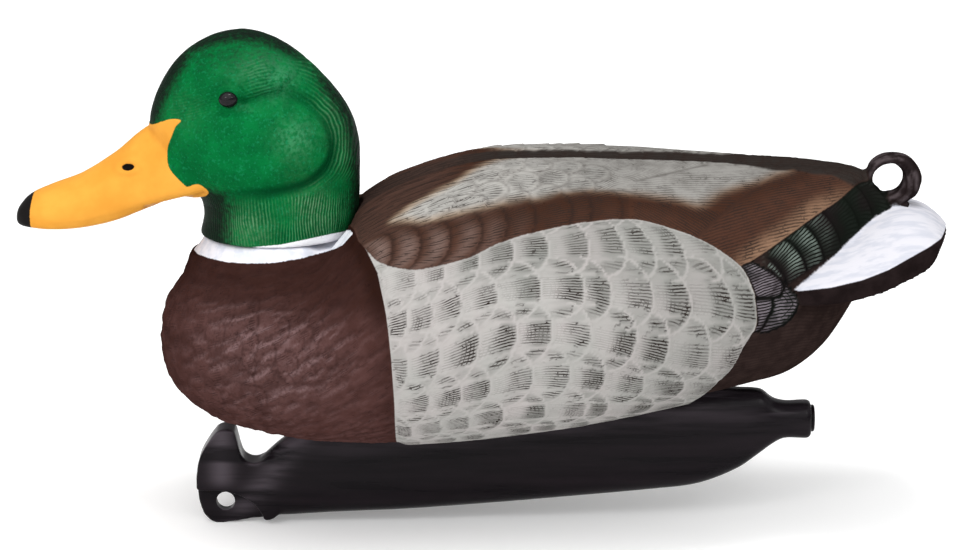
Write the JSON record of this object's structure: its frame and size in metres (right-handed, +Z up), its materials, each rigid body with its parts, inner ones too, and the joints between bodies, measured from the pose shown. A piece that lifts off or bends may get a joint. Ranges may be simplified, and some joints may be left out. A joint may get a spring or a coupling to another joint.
{
  "type": "floating duck decoy",
  "caption": "Drake decoy for water: hollow body with tail loop, swivelling head on a snap-in neck, and a sand-filled keel with a tie hole.",
  "frame": {"origin": "under the middle of the decoy's outline, level with the lowest point of the keel", "axes": "+Z up, +X towards the tail, -X towards the bill, Y across the decoy about its mirror plane"},
  "size_m": [0.4191, 0.1562, 0.2305],
  "materials": {
    "body_plastic": "blow-moulded polyethylene with sprayed matt feather paint",
    "head_plastic": "blow-moulded polyethylene, satin green head and satin yellow bill paint",
    "eye_gloss": "polished black",
    "keel_plastic": "satin black, as moulded",
    "sand_ballast": "dry packed sand",
    "screw_steel": "zinc-plated"
  },
  "bodies": {
    "body": {"body_shell": "body_plastic", "keel_shell": "keel_plastic", "keel_ballast": "sand_ballast", "keel_fill_plug": "keel_plastic", "keel_screw_front": "screw_steel", "keel_screw_rear": "screw_steel"},
    "head": {"head_shell": "head_plastic", "left_eye": "eye_gloss", "right_eye": "eye_gloss"}
  },
  "joints": [
    {"name": "head_swivel", "type": "hinge", "parent": "body", "child": "head", "pos_m": [-0.0912, 0, 0.138], "axis": [0, 0, 1], "range_deg": [-110, 110]}
  ]
}
